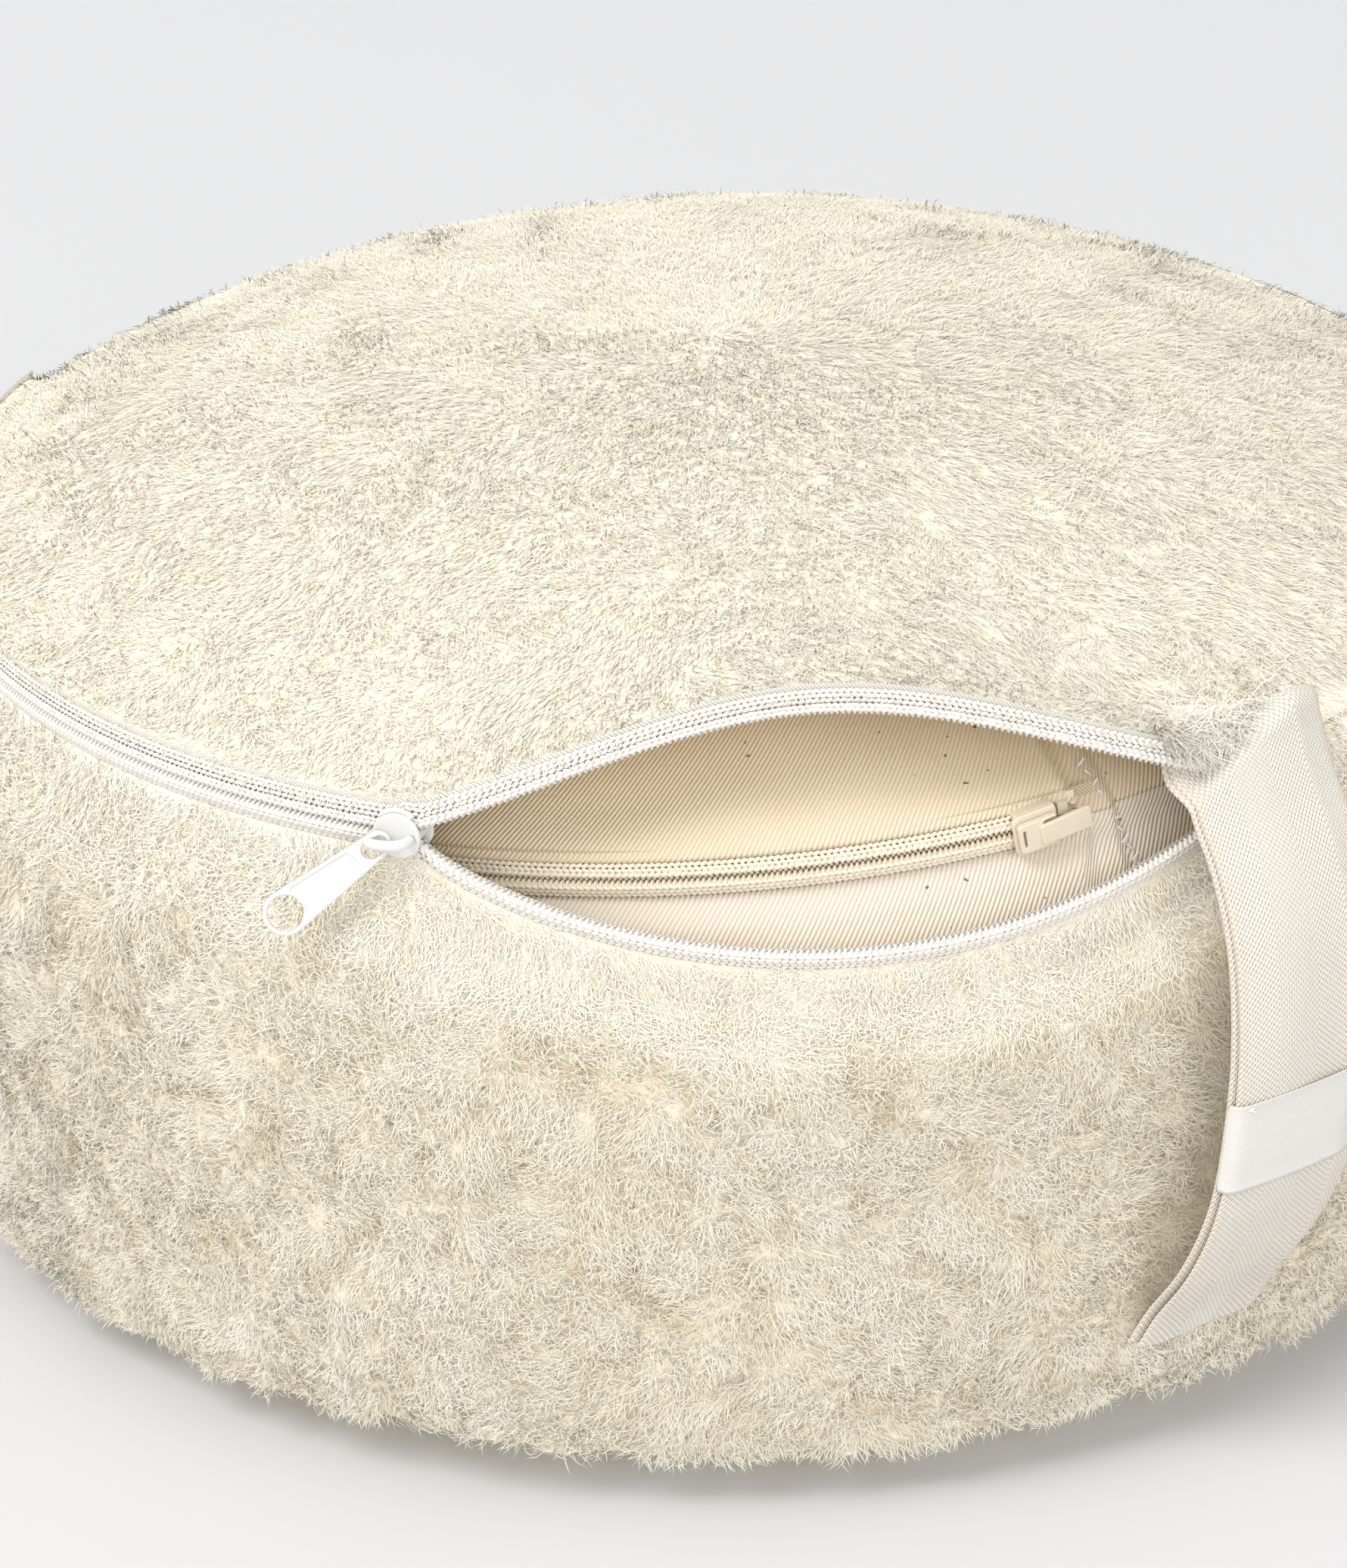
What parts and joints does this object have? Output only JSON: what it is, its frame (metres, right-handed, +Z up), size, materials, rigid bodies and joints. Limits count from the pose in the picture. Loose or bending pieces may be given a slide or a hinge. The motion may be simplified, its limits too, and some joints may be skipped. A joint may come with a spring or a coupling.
{
  "type": "round floor cushion",
  "caption": "Round floor cushion with a fleece zip cover over a filled twill casing, two coil zips and a webbing handle.",
  "frame": {"origin": "on the floor under the middle of the cushion", "axes": "+Z up through the crown; the open zip mouth and the slider face -Y, the handle is at the front towards +X"},
  "size_m": [0.408, 0.4082, 0.1939],
  "materials": {
    "fleece": "curly pile",
    "cover_tape": "woven polyester",
    "white_nylon": "satin moulded",
    "twill": "cotton twill",
    "casing_tape": "woven polyester",
    "beige_nylon": "satin moulded",
    "stitching": "polyester thread",
    "filling": "loose fibre",
    "label": "satin",
    "webbing": "herringbone cotton tape"
  },
  "bodies": {
    "cushion": {"casing_band": "twill", "casing_bartack": "stitching", "casing_bottom_panel": "twill", "casing_coil_lower": "beige_nylon", "casing_coil_upper": "beige_nylon", "casing_stop_bottom": "beige_nylon", "casing_stop_lower": "beige_nylon", "casing_stop_upper": "beige_nylon", "casing_tape_lower": "casing_tape", "casing_tape_upper": "casing_tape", "casing_top_panel": "twill", "cover_band_front": "fleece", "cover_band_rear": "fleece", "cover_bottom_panel": "fleece", "cover_coil_lower": "white_nylon", "cover_coil_upper": "white_nylon", "cover_stop_bottom": "white_nylon", "cover_stop_lower": "white_nylon", "cover_stop_upper": "white_nylon", "cover_tape_lower": "cover_tape", "cover_tape_upper": "cover_tape", "cover_top_panel": "fleece", "filling_core": "filling", "handle_label": "label", "handle_tape_inner": "webbing", "handle_tape_outer": "webbing"},
    "cover_slider": {"cover_slider": "white_nylon"},
    "cover_pull": {"cover_pull_tab": "white_nylon"},
    "casing_slider": {"casing_slider": "beige_nylon"},
    "casing_pull": {"casing_pull_tab": "beige_nylon"}
  },
  "joints": [
    {"name": "cover_zip_travel", "type": "hinge", "parent": "cushion", "child": "cover_slider", "pos_m": [0, 0, 0.153], "axis": [0, 0, -1], "range_deg": [0, 87], "deforming": ["cover_coil_upper", "cover_coil_lower"]},
    {"name": "cover_pull_flip", "type": "hinge", "parent": "cover_slider", "child": "cover_pull", "pos_m": [-0.07116, -0.17602, 0.153], "axis": [-0.5728, 0.2256, 0.788], "range_deg": [0, 80]},
    {"name": "casing_zip_travel", "type": "hinge", "parent": "cushion", "child": "casing_slider", "pos_m": [0, 0, 0.1408], "axis": [0.0523, 0, -0.9986], "range_deg": [0, 94], "deforming": ["casing_coil_upper", "casing_coil_lower"]},
    {"name": "casing_pull_flip", "type": "hinge", "parent": "casing_slider", "child": "casing_pull", "pos_m": [0.06459, -0.16514, 0.14419], "axis": [0.0523, 0, -0.9986], "range_deg": [0, 120]}
  ]
}
